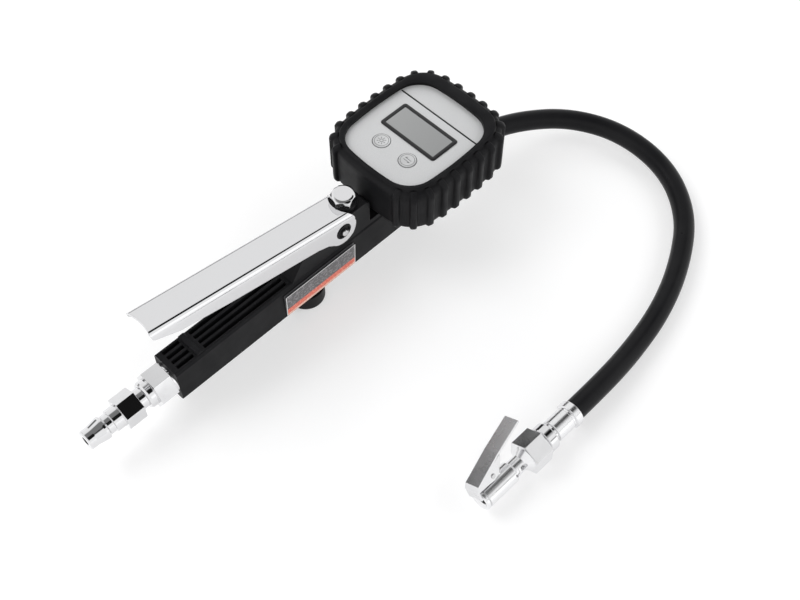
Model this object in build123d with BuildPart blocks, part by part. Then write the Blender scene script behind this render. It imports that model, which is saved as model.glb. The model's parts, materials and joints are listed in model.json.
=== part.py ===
from build123d import *
import math
import os

# A hand-held tyre inflator with a digital gauge, in millimetres.
# X runs along the handle from the air inlet (-X) to the hose outlet (+X), Z is up,
# and Y = 0 is the plane of symmetry of the gun.  The gun rests on its round valve
# plug at Z = 0, and the hose and chuck lie on the same surface.
os.makedirs("parts", exist_ok=True)

# ---- driving dimensions ------------------------------------------------------------
axis_z = 28.0              # height of the air passage, inlet and outlet
face_z = 81.7              # height of the silver gauge face
handle_rear_x = -108.5
handle_front_x = 127.0
handle_bottom_z = 13.0
handle_top_z = 43.0
handle_bottom_half = 12.2  # half width at the bottom of the sides
handle_shoulder_half = 11.3
handle_shoulder_z = 40.6
handle_top_half = 10.1
boss_half = 10.6           # half width of the pivot boss
boss_top_z = 67.7
passage_r = 3.5

valve_x = 9.5              # axis of the plunger, the valve chamber and its plug
seat_z = 32.0              # underside of the seat that the poppet closes on
chamber_r = 8.0
plug_r = 13.5
vent_x = 49.3              # axis of the hexagonal vent cap

pivot_x = 37.2
pivot_z = 59.0
lever_pitch = 10.5         # degrees that the lever rises towards the rear at rest
lever_half = 12.6
lever_wall = 1.6
lever_top = 12.7           # height of the lever's top above its pivot
pin_r = 2.6
bush_r = 6.1

gauge_x = 119.75           # centre of the rubber boot
opening_x = 116.75         # centre of the face opening in the boot
display_x = 121.0
boot_half_x = 52.0
boot_half_y = 45.8
boot_bottom_z = 49.7
boot_top_z = 86.0
housing_half_x = 48.6
housing_half_y = 43.0
housing_bottom_z = 53.0
plate_thickness = 1.2
display_length = 51.0
display_width = 25.2
button_x = 97.3
button_y = 12.4
button_r = 6.1
stem_x = 98.0
stem_r = 6.0

inlet_hex = 24.0           # across the flats
plug_hex = 20.0
nose_tip_x = -174.5

hose_r = 7.5
hose_start_x = 160.0
hose_end_x = 64.0
chuck_y = -197.0
chuck_z = 13.0
chuck_hex = 22.0
mouth_x = -24.5
mouth_r = 4.2              # clears the outside of a tyre valve
barrel_r = 7.7


def keep(piece, name):
    """Label a finished piece and write its STEP file."""
    piece.part.label = name
    export_step(piece.part, f"parts/{name}.step")


def rounded_pad(half_x, half_y, bulge, corner):
    """A rounded rectangle whose four sides bow outwards by bulge."""
    corner_x = half_x - bulge
    corner_y = half_y - bulge
    with BuildSketch() as pad:
        with BuildLine():
            ThreePointArc((-corner_x, -corner_y), (0, -half_y), (corner_x, -corner_y))
            ThreePointArc((corner_x, -corner_y), (half_x, 0), (corner_x, corner_y))
            ThreePointArc((corner_x, corner_y), (0, half_y), (-corner_x, corner_y))
            ThreePointArc((-corner_x, corner_y), (-half_x, 0), (-corner_x, -corner_y))
        make_face()
        fillet(pad.vertices(), corner)
    return pad.sketch


def turned(points, origin, direction=(1, 0, 0)):
    """A solid turned from (distance along the axis, radius) points."""
    along = Vector(*direction).normalized()
    side = Vector(0, 0, 1) if abs(along.Z) < 0.5 else Vector(1, 0, 0)
    frame = Plane(origin=origin, x_dir=along, z_dir=along.cross(side))
    with BuildPart() as body:
        with BuildSketch(frame):
            with BuildLine():
                Polyline(*points, close=True)
            make_face()
        revolve(axis=Axis(origin, direction))
    return body.part


def ring_at(plane, outer_r, inner_r, length):
    """A plain ring standing on a plane."""
    with BuildPart() as body:
        with BuildSketch(plane):
            Circle(outer_r)
            Circle(inner_r, mode=Mode.SUBTRACT)
        extrude(amount=length)
    return body.part


inlet_plane = Plane(origin=(handle_rear_x, 0, axis_z), x_dir=(0, 1, 0), z_dir=(1, 0, 0))
outlet_plane = Plane(origin=(handle_front_x, 0, axis_z), x_dir=(0, 1, 0), z_dir=(1, 0, 0))

# ---- handle ------------------------------------------------------------------------
slot_width = 2.8
slot_floor_z = 34.5
slot_rows = [-7.2, -2.4, 2.4, 7.2]
rear_slot = (-104.5, -91.0)
front_slot = (-82.5, -12.0)
lip_x = -87.2
front_block_x = 60.0
front_block_top_z = 46.0
upper_chamber_r = 6.0
upper_passage_z = 37.0
riser_x = 30.0
socket_r = 7.0

with BuildPart() as handle_body:
    with BuildSketch(Plane.YZ.offset(handle_rear_x)):
        with BuildLine():
            Polyline(
                (-handle_bottom_half + 1.5, handle_bottom_z),
                (handle_bottom_half - 1.5, handle_bottom_z),
                (handle_bottom_half, handle_bottom_z + 1.5),
                (handle_shoulder_half, handle_shoulder_z),
                (handle_top_half, handle_top_z),
                (-handle_top_half, handle_top_z),
                (-handle_shoulder_half, handle_shoulder_z),
                (-handle_bottom_half, handle_bottom_z + 1.5),
                close=True,
            )
        make_face()
    extrude(amount=handle_front_x - handle_rear_x)
    fillet(handle_body.edges().filter_by(Axis.X), 1.0)
    # the pivot boss, with its flat shelf for the plunger
    with BuildSketch(Plane.XZ):
        with BuildLine():
            Polyline(
                (-10, 41), (1, 57.5), (18, 57.5), (26, 65.5), (31, boss_top_z),
                (60.5, boss_top_z), (63, 65), (63, 41), close=True,
            )
        make_face()
    extrude(amount=boss_half, both=True)
    # the block that carries the gauge
    with Locations(((front_block_x + handle_front_x) / 2, 0, 41)):
        Box(
            handle_front_x - front_block_x, 2 * boss_half, front_block_top_z - 41,
            align=(Align.CENTER, Align.CENTER, Align.MIN),
        )
    # raised lip across the handle
    with BuildSketch(Plane.XZ):
        with BuildLine():
            Polyline(
                (lip_x - 3, 42), (lip_x - 2.4, 44.6), (lip_x + 1.6, 44.6),
                (lip_x + 4, 42), close=True,
            )
        make_face()
    extrude(amount=handle_top_half - 0.4, both=True)
    # rows of slots on each side of the lip
    for start, end in (rear_slot, front_slot):
        with BuildSketch(Plane.XY.offset(slot_floor_z)):
            for row in slot_rows:
                with Locations(((start + end) / 2, row)):
                    Rectangle(end - start, slot_width)
        extrude(amount=30, mode=Mode.SUBTRACT)
    # inlet and outlet sockets, and the air passages
    with BuildSketch(inlet_plane):
        Circle(socket_r)
    extrude(amount=16, mode=Mode.SUBTRACT)
    with BuildSketch(inlet_plane):
        Circle(passage_r)
    extrude(amount=valve_x - handle_rear_x, mode=Mode.SUBTRACT)
    with BuildSketch(outlet_plane):
        Circle(socket_r)
    extrude(amount=-12, mode=Mode.SUBTRACT)
    with BuildSketch(outlet_plane):
        Circle(passage_r)
    extrude(amount=riser_x - handle_front_x, mode=Mode.SUBTRACT)
    with BuildSketch(Plane.XY.offset(axis_z)):
        with Locations((riser_x, 0)):
            Circle(3.0)
    extrude(amount=upper_passage_z - axis_z + 3, mode=Mode.SUBTRACT)
    with BuildSketch(Plane.YZ.offset(valve_x)):
        with Locations((0, upper_passage_z)):
            Circle(2.0)
    extrude(amount=riser_x - valve_x, mode=Mode.SUBTRACT)
    # valve chamber, seat hole, upper chamber and plunger bore
    with BuildSketch(Plane.XY.offset(handle_bottom_z)):
        with Locations((valve_x, 0)):
            Circle(chamber_r)
    extrude(amount=seat_z - handle_bottom_z, mode=Mode.SUBTRACT)
    with BuildSketch(Plane.XY.offset(seat_z)):
        with Locations((valve_x, 0)):
            Circle(4.0)
    extrude(amount=2.5, mode=Mode.SUBTRACT)
    with BuildSketch(Plane.XY.offset(seat_z + 2.5)):
        with Locations((valve_x, 0)):
            Circle(upper_chamber_r)
    extrude(amount=6.5, mode=Mode.SUBTRACT)
    with BuildSketch(Plane.XY.offset(seat_z + 9)):
        with Locations((valve_x, 0)):
            Circle(3.06)
    extrude(amount=20, mode=Mode.SUBTRACT)
    # vent cap socket, gauge port, pivot hole
    with BuildSketch(Plane.XY.offset(axis_z)):
        with Locations((vent_x, 0)):
            Circle(1.5)
    extrude(amount=26, mode=Mode.SUBTRACT)
    with BuildSketch(Plane.XY.offset(52)):
        with Locations((vent_x, 0)):
            Circle(6.0)
    extrude(amount=20, mode=Mode.SUBTRACT)
    with BuildSketch(Plane.XY.offset(axis_z)):
        with Locations((stem_x, 0)):
            Circle(2.0)
    extrude(amount=10, mode=Mode.SUBTRACT)
    with BuildSketch(Plane.XY.offset(36)):
        with Locations((stem_x, 0)):
            Circle(stem_r)
    extrude(amount=12, mode=Mode.SUBTRACT)
    with BuildSketch(Plane.XZ):
        with Locations((pivot_x, pivot_z)):
            Circle(pin_r)
    extrude(amount=boss_half + 1, both=True, mode=Mode.SUBTRACT)
keep(handle_body, "handle_body")

# a printed plate on the near side, lying on the sloping side of the handle
side_slope = math.atan2(
    handle_bottom_half - handle_shoulder_half, handle_shoulder_z - handle_bottom_z - 1.5
)
side_plane = Plane(
    origin=(14.0, -handle_bottom_half, handle_bottom_z + 1.5),
    x_dir=(1, 0, 0),
    z_dir=(0, -math.cos(side_slope), math.sin(side_slope)),
)
with BuildPart() as side_label:
    with BuildSketch(side_plane):
        with Locations((0, 11.9)):
            Rectangle(64, 22.6)
    extrude(amount=0.4)
keep(side_label, "side_label")

# ---- valve -------------------------------------------------------------------------
with BuildPart() as valve_plug:
    with BuildSketch():
        with Locations((valve_x, 0)):
            Circle(plug_r)
    extrude(amount=handle_bottom_z)
    fillet(valve_plug.faces().sort_by(Axis.Z)[0].edges(), 2.2)
    with BuildSketch(Plane.XY.offset(handle_bottom_z)):
        with Locations((valve_x, 0)):
            Circle(chamber_r)
    extrude(amount=4)
    with BuildSketch(Plane.XY.offset(handle_bottom_z - 1)):
        with Locations((valve_x, 0)):
            Circle(10.0)
            Circle(chamber_r, mode=Mode.SUBTRACT)
    extrude(amount=1, mode=Mode.SUBTRACT)
keep(valve_plug, "valve_plug")

with BuildPart() as plug_seal:
    add(ring_at(Plane((valve_x, 0, handle_bottom_z - 1)), 10.0, chamber_r, 1.0))
keep(plug_seal, "plug_seal")

plug_top_z = handle_bottom_z + 4
poppet_z = 28.0
spring_wire_r = 0.55
spring_turns = 5
spring_height = poppet_z - plug_top_z - 2 * spring_wire_r - 0.1
with BuildPart() as valve_spring:
    with BuildLine() as coil:
        Helix(
            pitch=spring_height / spring_turns, height=spring_height, radius=4.4,
            center=(valve_x, 0, plug_top_z + spring_wire_r + 0.05),
        )
    with BuildSketch(Plane(origin=coil.line @ 0, z_dir=coil.line % 0)):
        Circle(spring_wire_r)
    sweep(path=coil.line)
keep(valve_spring, "valve_spring")

with BuildPart() as valve_poppet:
    with BuildSketch(Plane.XY.offset(poppet_z)):
        with Locations((valve_x, 0)):
            Circle(6.2)
    extrude(amount=2.4)
    with BuildSketch(Plane.XY.offset(poppet_z + 2.4)):
        with Locations((valve_x, 0)):
            Circle(2.0)
    extrude(amount=9.6)
keep(valve_poppet, "valve_poppet")

with BuildPart() as poppet_seal:
    add(ring_at(Plane((valve_x, 0, poppet_z + 2.4)), 6.2, 2.0, 1.4))
keep(poppet_seal, "poppet_seal")

# the plunger's round top stands just under the lever
plunger_gap = 0.6
plunger_arm = (pivot_x - valve_x + (lever_top - lever_wall) * math.sin(math.radians(lever_pitch)))
plunger_arm = plunger_arm / math.cos(math.radians(lever_pitch))
plunger_top_z = (
    pivot_z
    + plunger_arm * math.sin(math.radians(lever_pitch))
    + (lever_top - lever_wall) * math.cos(math.radians(lever_pitch))
)
with BuildPart() as valve_plunger:
    with BuildSketch(Plane.XY.offset(poppet_z + 12)):
        with Locations((valve_x, 0)):
            Circle(3.0)
    extrude(amount=plunger_top_z - plunger_gap - poppet_z - 12)
    fillet(valve_plunger.faces().sort_by(Axis.Z)[-1].edges(), 1.8)
keep(valve_plunger, "valve_plunger")

with BuildPart() as plunger_gland:
    with BuildSketch(Plane.XY.offset(57.5)):
        with Locations((valve_x, 0)):
            RegularPolygon(6.0, 6, major_radius=False)
            Circle(3.06, mode=Mode.SUBTRACT)
    extrude(amount=4.0)
keep(plunger_gland, "plunger_gland")

# ---- vent cap ----------------------------------------------------------------------
vent_washer_top = 72.0
vent_cap_top = 77.5
vent_hex = 16.0
vent_flat_r = 6.2
with BuildPart() as vent_washer:
    add(ring_at(Plane((vent_x, 0, boss_top_z)), 9.2, 6.0, vent_washer_top - boss_top_z))
    fillet(vent_washer.faces().sort_by(Axis.Z)[-1].edges().sort_by(SortBy.LENGTH)[-1], 1.0)
keep(vent_washer, "vent_washer")

with BuildPart() as vent_cap:
    with BuildSketch(Plane.XY.offset(55)):
        with Locations((vent_x, 0)):
            Circle(6.0)
    extrude(amount=vent_washer_top - 55)
    with BuildSketch(Plane.XY.offset(vent_washer_top)):
        with Locations((vent_x, 0)):
            RegularPolygon(vent_hex / 2, 6, major_radius=False, rotation=14)
    extrude(amount=vent_cap_top - vent_washer_top)
    # the top of the hexagon is turned to a rounded shoulder
    with BuildSketch(Plane.XZ):
        with BuildLine():
            ThreePointArc(
                (vent_x + vent_flat_r, vent_cap_top), (vent_x + 8.4, vent_cap_top - 1.0),
                (vent_x + 10, vent_cap_top - 3.2),
            )
            Polyline(
                (vent_x + 10, vent_cap_top - 3.2), (vent_x + 10, vent_cap_top + 1),
                (vent_x + vent_flat_r, vent_cap_top + 1), (vent_x + vent_flat_r, vent_cap_top),
            )
        make_face()
    revolve(axis=Axis((vent_x, 0, 0), (0, 0, 1)), mode=Mode.SUBTRACT)
keep(vent_cap, "vent_cap")

with BuildPart() as vent_seal:
    with BuildSketch(Plane.XY.offset(52)):
        with Locations((vent_x, 0)):
            Circle(6.0)
    extrude(amount=3)
keep(vent_seal, "vent_seal")

# ---- lever -------------------------------------------------------------------------
# The lever's own plane: local x runs rearwards along it, local y is away from the handle.
pitch = math.radians(lever_pitch)
lever_plane = Plane(
    origin=(pivot_x, 0, pivot_z),
    x_dir=(-math.cos(pitch), 0, math.sin(pitch)),
    z_dir=(0, 1, 0),
)
lever_tail = 160.0
tail_curve_r = 33.0
lever_bend_r = 4.4
lever_top_plane = Plane(
    origin=(pivot_x, 0, pivot_z),
    x_dir=(-math.cos(pitch), 0, math.sin(pitch)),
    z_dir=(math.sin(pitch), 0, math.cos(pitch)),
)
with BuildPart() as lever_hollow:
    with BuildSketch(lever_plane):
        with BuildLine():
            Polyline(
                (-30, lever_top - lever_wall), (lever_tail + 5, lever_top - lever_wall),
                (lever_tail + 5, -20), (-30, -20), close=True,
            )
        make_face()
    extrude(amount=lever_half - lever_wall, both=True)
    inner_edges = lever_hollow.edges().filter_by(GeomType.LINE).filter_by(
        lambda edge: abs(edge.length - lever_tail - 35) < 0.2
    ).sort_by(Axis.Z)[-2:]
    fillet(inner_edges, lever_bend_r - lever_wall)

with BuildPart() as squeeze_lever:
    with BuildSketch(lever_plane):
        with BuildLine():
            Polyline(
                (-5.5, lever_top), (lever_tail, lever_top), (lever_tail - 2, 7.6),
                (156, 6.0), (137, 0.7), (98, -1.8), (22.6, -4.4), (13, -6.2), (7.5, -9.2),
            )
            ThreePointArc((7.5, -9.2), (-1.5, -11.8), (-9.8, -6.6))
            ThreePointArc((-9.8, -6.6), (-11.0, 2.0), (-5.5, lever_top))
        make_face()
    extrude(amount=lever_half, both=True)
    long_edges = squeeze_lever.edges().filter_by(GeomType.LINE).filter_by(
        lambda edge: abs(edge.length - lever_tail - 5.5) < 0.2
    )
    fillet(long_edges, lever_bend_r)
    # hollow the channel, rounded inside its bends
    add(lever_hollow.part, mode=Mode.SUBTRACT)
    # pivot holes in the ears
    with BuildSketch(lever_plane):
        Circle(bush_r + 0.06)
    extrude(amount=lever_half + 2, both=True, mode=Mode.SUBTRACT)
    # round notch in the front edge, clear of the vent cap
    with BuildSketch(Plane.XY.offset(62)):
        with Locations((vent_x + 4.7, 0)):
            Circle(14.1)
    extrude(amount=15, mode=Mode.SUBTRACT)
    # the rear edge curves in
    with BuildSketch(lever_top_plane):
        with Locations((lever_tail - 2.5 + tail_curve_r, 0)):
            Circle(tail_curve_r)
    extrude(amount=40, both=True, mode=Mode.SUBTRACT)
keep(squeeze_lever, "squeeze_lever")

# a dished bush in each ear
bush_profile = [(0, pin_r), (0, bush_r), (2.4, bush_r), (2.4, 5.0), (1.4, 4.6), (1.4, pin_r)]
with BuildPart() as pivot_bushes:
    for side in (-1, 1):
        add(turned(bush_profile, (pivot_x, side * boss_half, pivot_z), (0, side, 0)))
keep(pivot_bushes, "pivot_bushes")

with BuildPart() as pivot_pin:
    with BuildSketch(Plane.XZ):
        with Locations((pivot_x, pivot_z)):
            Circle(pin_r)
    extrude(amount=15.2, both=True)
    fillet(pivot_pin.edges().filter_by(GeomType.CIRCLE), 1.2)
keep(pivot_pin, "pivot_pin")

# ---- inlet -------------------------------------------------------------------------
inlet_hex_rear = -123.5
inlet_hex_front = -110.5
bushing_rear = -129.0
with BuildPart() as inlet_bushing:
    add(turned(
        [(0, 0), (0, 9.0), (1.4, 9.85), (5.5, 9.85), (5.5, 11.5), (20.5, 11.5),
         (20.5, socket_r), (36.5, socket_r), (36.5, 0)],
        (bushing_rear, 0, axis_z),
    ))
    with BuildSketch(Plane(origin=(inlet_hex_rear, 0, axis_z), x_dir=(0, 1, 0), z_dir=(1, 0, 0))):
        RegularPolygon(inlet_hex / 2, 6, major_radius=False)
    extrude(amount=inlet_hex_front - inlet_hex_rear)
    with BuildSketch(Plane(origin=(bushing_rear, 0, axis_z), x_dir=(0, 1, 0), z_dir=(1, 0, 0))):
        Circle(4.5)
    extrude(amount=29, mode=Mode.SUBTRACT)
    with BuildSketch(Plane(origin=(bushing_rear, 0, axis_z), x_dir=(0, 1, 0), z_dir=(1, 0, 0))):
        Circle(3.5)
    extrude(amount=40, mode=Mode.SUBTRACT)
keep(inlet_bushing, "inlet_bushing")

with BuildPart() as inlet_filter:
    with BuildSketch(Plane(origin=(-110, 0, axis_z), x_dir=(0, 1, 0), z_dir=(1, 0, 0))):
        Circle(4.5)
    extrude(amount=8)
keep(inlet_filter, "inlet_filter")

nose_r = 8.25
tip_r = 7.0
with BuildPart() as coupler_plug:
    add(turned(
        [(0, 0), (0, tip_r - 0.8), (0.8, tip_r), (5.5, tip_r), (12.5, nose_r), (14.2, nose_r),
         (15.2, 6.9), (19.2, 6.9), (19.6, 8.1), (26.5, 8.1), (26.5, 9.0), (40, 9.0),
         (40, 7.2), (45.5, 7.2), (45.5, 4.5), (62.5, 4.5), (62.5, 0)],
        (nose_tip_x, 0, axis_z),
    ))
    with BuildSketch(Plane(origin=(-148, 0, axis_z), x_dir=(0, 1, 0), z_dir=(1, 0, 0))):
        RegularPolygon(plug_hex / 2, 6, major_radius=False, rotation=30)
    extrude(amount=13.5)
    with BuildSketch(Plane(origin=(nose_tip_x, 0, axis_z), x_dir=(0, 1, 0), z_dir=(1, 0, 0))):
        Circle(3.2)
    extrude(amount=70, mode=Mode.SUBTRACT)
keep(coupler_plug, "coupler_plug")

# ---- gauge -------------------------------------------------------------------------
plate_bottom_z = face_z - plate_thickness
post_places = [(dx, dy) for dx in (-32, 32) for dy in (-28, 28)]
board_bottom_z = 72.9
door_x = 120.25
door_y = 27.0

with BuildPart() as gauge_housing:
    with BuildSketch(Plane.XY.offset(housing_bottom_z)):
        with Locations((gauge_x, 0)):
            add(rounded_pad(housing_half_x, housing_half_y, 2.0, 23))
    extrude(amount=plate_bottom_z - housing_bottom_z)
    with BuildSketch(Plane.XY.offset(housing_bottom_z + 2.5)):
        with Locations((gauge_x, 0)):
            add(rounded_pad(housing_half_x - 2.5, housing_half_y - 2.5, 2.0, 21))
    extrude(amount=40, mode=Mode.SUBTRACT)
    with BuildSketch(Plane.XY.offset(housing_bottom_z + 2.0)):
        with Locations((gauge_x, 0)):
            with Locations(*post_places):
                Circle(3.0)
    extrude(amount=board_bottom_z - housing_bottom_z - 2.0)
    with BuildSketch(Plane.XY.offset(board_bottom_z - 6)):
        with Locations((gauge_x, 0)):
            with Locations(*post_places):
                Circle(1.0)
    extrude(amount=7, mode=Mode.SUBTRACT)
    with BuildSketch(Plane.XY.offset(housing_bottom_z)):
        with Locations((stem_x, 0)):
            Circle(stem_r)
        with Locations((door_x, door_y)):
            Rectangle(50, 22)
    extrude(amount=2.5, mode=Mode.SUBTRACT)
keep(gauge_housing, "gauge_housing")

lug_depth = 2.7
lug_width = 9.2
lug_count = 30
with BuildPart() as rubber_boot:
    with BuildSketch(Plane.XY.offset(boot_bottom_z)):
        with Locations((gauge_x, 0)):
            add(rounded_pad(boot_half_x, boot_half_y, 3.4, 24))
    extrude(amount=boot_top_z - boot_bottom_z)
    chamfer(rubber_boot.faces().sort_by(Axis.Z)[-1].edges(), 2.6)
    chamfer(rubber_boot.faces().sort_by(Axis.Z)[0].edges(), 1.6)
    # moulded lugs round the sides, except across the middle of the rear
    outline = rounded_pad(boot_half_x, boot_half_y, 3.4, 24).wires()[0]
    for step in range(lug_count):
        place = outline.position_at((step + 0.5) / lug_count)
        along = outline.tangent_at((step + 0.5) / lug_count)
        if place.X < -boot_half_x + 4 and abs(place.Y) < 22:
            continue
        lug_plane = Plane(
            origin=(place.X + gauge_x, place.Y, boot_bottom_z + 0.6),
            x_dir=(along.X, along.Y, 0),
            z_dir=(0, 0, 1),
        )
        with BuildSketch(lug_plane):
            Rectangle(lug_width, 2 * lug_depth)
        extrude(amount=boot_top_z - boot_bottom_z - 3.2)
    with BuildSketch(Plane.XY.offset(housing_bottom_z)):
        with Locations((gauge_x, 0)):
            add(rounded_pad(housing_half_x, housing_half_y, 2.0, 23))
    extrude(amount=face_z - housing_bottom_z, mode=Mode.SUBTRACT)
    with BuildSketch(Plane.XY.offset(boot_bottom_z - 1)):
        with Locations((gauge_x, 0)):
            add(rounded_pad(45.0, 39.6, 2.0, 18))
    extrude(amount=6, mode=Mode.SUBTRACT)
    with BuildSketch(Plane.XY.offset(face_z - 1)):
        with Locations((opening_x, 0)):
            add(rounded_pad(42.6, 37.8, 3.0, 20))
    extrude(amount=10, mode=Mode.SUBTRACT)
keep(rubber_boot, "rubber_boot")

with BuildPart() as face_plate:
    with BuildSketch(Plane.XY.offset(plate_bottom_z)):
        with Locations((gauge_x, 0)):
            add(rounded_pad(housing_half_x, housing_half_y, 2.0, 23))
        with Locations((display_x, 0)):
            Rectangle(display_width - 4.2, display_length - 4.2, mode=Mode.SUBTRACT)
        with Locations((button_x, button_y), (button_x, -button_y)):
            Circle(button_r + 0.1, mode=Mode.SUBTRACT)
    extrude(amount=plate_thickness)
keep(face_plate, "face_plate")

with BuildPart() as display_frame:
    with BuildSketch(Plane.XY.offset(face_z)):
        with Locations((display_x, 0)):
            Rectangle(display_width, display_length)
            Rectangle(display_width - 5.8, display_length - 5.8, mode=Mode.SUBTRACT)
    extrude(amount=0.6)
keep(display_frame, "display_frame")

with BuildPart() as display_window:
    with BuildSketch(Plane.XY.offset(face_z)):
        with Locations((display_x, 0)):
            Rectangle(display_width - 5.8, display_length - 5.8)
    extrude(amount=0.4)
keep(display_window, "display_window")

board_top_z = board_bottom_z + 1.6
with BuildPart() as display_module:
    with BuildSketch(Plane.XY.offset(board_top_z)):
        with Locations((display_x, 0)):
            Rectangle(display_width - 4.2, display_length - 4.2)
    extrude(amount=face_z - board_top_z)
keep(display_module, "display_module")

for name, side in (("light_button", 1), ("unit_button", -1)):
    with BuildPart() as button:
        with BuildSketch(Plane.XY.offset(plate_bottom_z - 0.6)):
            with Locations((button_x, side * button_y)):
                Circle(button_r)
        extrude(amount=plate_thickness + 0.6 + 0.5)
        fillet(button.faces().sort_by(Axis.Z)[-1].edges(), 0.4)
        with BuildSketch(Plane.XY.offset(plate_bottom_z - 1.6)):
            with Locations((button_x, side * button_y)):
                Circle(button_r + 1.0)
        extrude(amount=1.0)
    keep(button, name)

with BuildPart() as circuit_board:
    with BuildSketch(Plane.XY.offset(board_bottom_z)):
        with Locations((gauge_x, 0)):
            RectangleRounded(76, 66, 6)
            with Locations(*post_places):
                Circle(1.0, mode=Mode.SUBTRACT)
    extrude(amount=1.6)
keep(circuit_board, "circuit_board")

with BuildPart() as button_switches:
    with BuildSketch(Plane.XY.offset(board_top_z)):
        with Locations((button_x, button_y), (button_x, -button_y)):
            Rectangle(6, 6)
    extrude(amount=2.0)
    with BuildSketch(Plane.XY.offset(board_top_z + 2.0)):
        with Locations((button_x, button_y), (button_x, -button_y)):
            Circle(1.7)
    extrude(amount=1.4)
keep(button_switches, "button_switches")

with BuildPart() as board_screws:
    with BuildSketch(Plane.XY.offset(board_bottom_z - 5)):
        with Locations((gauge_x, 0)):
            with Locations(*post_places):
                Circle(1.0)
    extrude(amount=6.6)
    with BuildSketch(Plane.XY.offset(board_top_z)):
        with Locations((gauge_x, 0)):
            with Locations(*post_places):
                Circle(2.2)
    extrude(amount=1.5)
keep(board_screws, "board_screws")

battery_r = 5.2
with BuildPart() as battery_cells:
    with BuildSketch(Plane.YZ.offset(door_x - 22)):
        for row in (-5.4, 5.4):
            with Locations((door_y + row, housing_bottom_z + 2.5 + battery_r)):
                Circle(battery_r)
    extrude(amount=43)
    with BuildSketch(Plane.YZ.offset(door_x + 21)):
        for row in (-5.4, 5.4):
            with Locations((door_y + row, housing_bottom_z + 2.5 + battery_r)):
                Circle(1.9)
    extrude(amount=1.2)
keep(battery_cells, "battery_cells")

with BuildPart() as battery_door:
    with BuildSketch(Plane.XY.offset(housing_bottom_z)):
        with Locations((door_x, door_y)):
            Rectangle(50, 22)
    extrude(amount=2.5)
    with BuildSketch(Plane.XY.offset(housing_bottom_z)):
        with Locations((door_x, door_y)):
            with Locations((-22, 0), (22, 0)):
                Circle(1.2)
    extrude(amount=2.5, mode=Mode.SUBTRACT)
keep(battery_door, "battery_door")

with BuildPart() as door_screws:
    with BuildSketch(Plane.XY.offset(housing_bottom_z)):
        with Locations((door_x, door_y)):
            with Locations((-22, 0), (22, 0)):
                Circle(1.2)
    extrude(amount=2.5)
    with BuildSketch(Plane.XY.offset(housing_bottom_z - 1.2)):
        with Locations((door_x, door_y)):
            with Locations((-22, 0), (22, 0)):
                Circle(2.4)
    extrude(amount=1.2)
keep(door_screws, "door_screws")

with BuildPart() as gauge_stem:
    with BuildSketch(Plane.XY.offset(36)):
        with Locations((stem_x, 0)):
            Circle(stem_r)
    extrude(amount=24)
    with BuildSketch(Plane.XY.offset(front_block_top_z)):
        with Locations((stem_x, 0)):
            RegularPolygon(9.5, 6, major_radius=False)
    extrude(amount=housing_bottom_z - front_block_top_z)
    with BuildSketch(Plane.XY.offset(36)):
        with Locations((stem_x, 0)):
            Circle(2.0)
    extrude(amount=24, mode=Mode.SUBTRACT)
keep(gauge_stem, "gauge_stem")

with BuildPart() as stem_nut:
    with BuildSketch(Plane.XY.offset(housing_bottom_z + 2.5)):
        with Locations((stem_x, 0)):
            RegularPolygon(8.5, 6, major_radius=False)
            Circle(stem_r, mode=Mode.SUBTRACT)
    extrude(amount=4)
keep(stem_nut, "stem_nut")

with BuildPart() as pressure_sensor:
    with BuildSketch(Plane.XY.offset(60)):
        with Locations((stem_x, 0)):
            Circle(7.0)
    extrude(amount=9)
    with BuildSketch(Plane.XY.offset(69)):
        with Locations((stem_x, 0)):
            Circle(4.5)
    extrude(amount=board_bottom_z - 69)
keep(pressure_sensor, "pressure_sensor")

# ---- outlet ------------------------------------------------------------------------
with BuildPart() as outlet_nipple:
    add(turned(
        [(0, 0), (0, socket_r), (12, socket_r), (12, 8.5), (20, 8.5), (20, 4.5), (43, 4.5), (43, 0)],
        (handle_front_x - 12, 0, axis_z),
    ))
    with BuildSketch(outlet_plane):
        RegularPolygon(9.5, 6, major_radius=False)
    extrude(amount=8)
    with BuildSketch(outlet_plane.offset(-12)):
        Circle(2.5)
    extrude(amount=50, mode=Mode.SUBTRACT)
keep(outlet_nipple, "outlet_nipple")

ferrule_profile = [
    (0, 4.5), (0, 8.9), (0.6, 9.35), (5.2, 9.35), (5.9, 7.8), (7.2, 7.8), (7.7, 8.1), (20.6, 8.1),
]
front_ferrule_profile = ferrule_profile + [(25, 8.1), (25, 4.5)]
rear_ferrule_profile = ferrule_profile + [(21, 7.8), (21, 4.5)]
with BuildPart() as front_ferrule:
    add(turned(front_ferrule_profile, (hose_start_x, 0, axis_z), (-1, 0, 0)))
keep(front_ferrule, "front_ferrule")

# ---- hose --------------------------------------------------------------------------
# The hose sags from the outlet to the resting surface, curls round and lies flat
# until it rises a little into the chuck.
hose_route = [
    (hose_start_x, 0, axis_z), (188, 0, axis_z), (219, -9, 24.5), (254, -31, 18.5),
    (275, -67, 13), (274, -111, 9), (250, -148, 7.6), (211, -172, 7.6),
    (170, -187, 7.8), (128, -194, 9), (92, chuck_y, chuck_z), (hose_end_x, chuck_y, chuck_z),
]
route_points = [Vector(*point) for point in hose_route]
hose_radii = []
for before, corner, after in zip(route_points, route_points[1:], route_points[2:]):
    turn = math.radians((corner - before).get_angle(after - corner))
    shorter = min((corner - before).length, (after - corner).length)
    hose_radii.append(0.45 * shorter / math.tan(turn / 2))
print("hose radii", [round(radius, 1) for radius in hose_radii])

with BuildPart() as air_hose:
    with BuildLine() as hose_path:
        FilletPolyline(*route_points, radius=hose_radii)
    with BuildSketch(Plane(origin=hose_path.line @ 0, z_dir=hose_path.line % 0)):
        Circle(hose_r)
    sweep(path=hose_path.line)
hose_length = sum(edge.length for edge in hose_path.edges())
print("hose length", round(hose_length, 1))
print("hose volume ratio", round(air_hose.part.volume / (hose_length * math.pi * hose_r**2), 4))
keep(air_hose, "air_hose")

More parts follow.
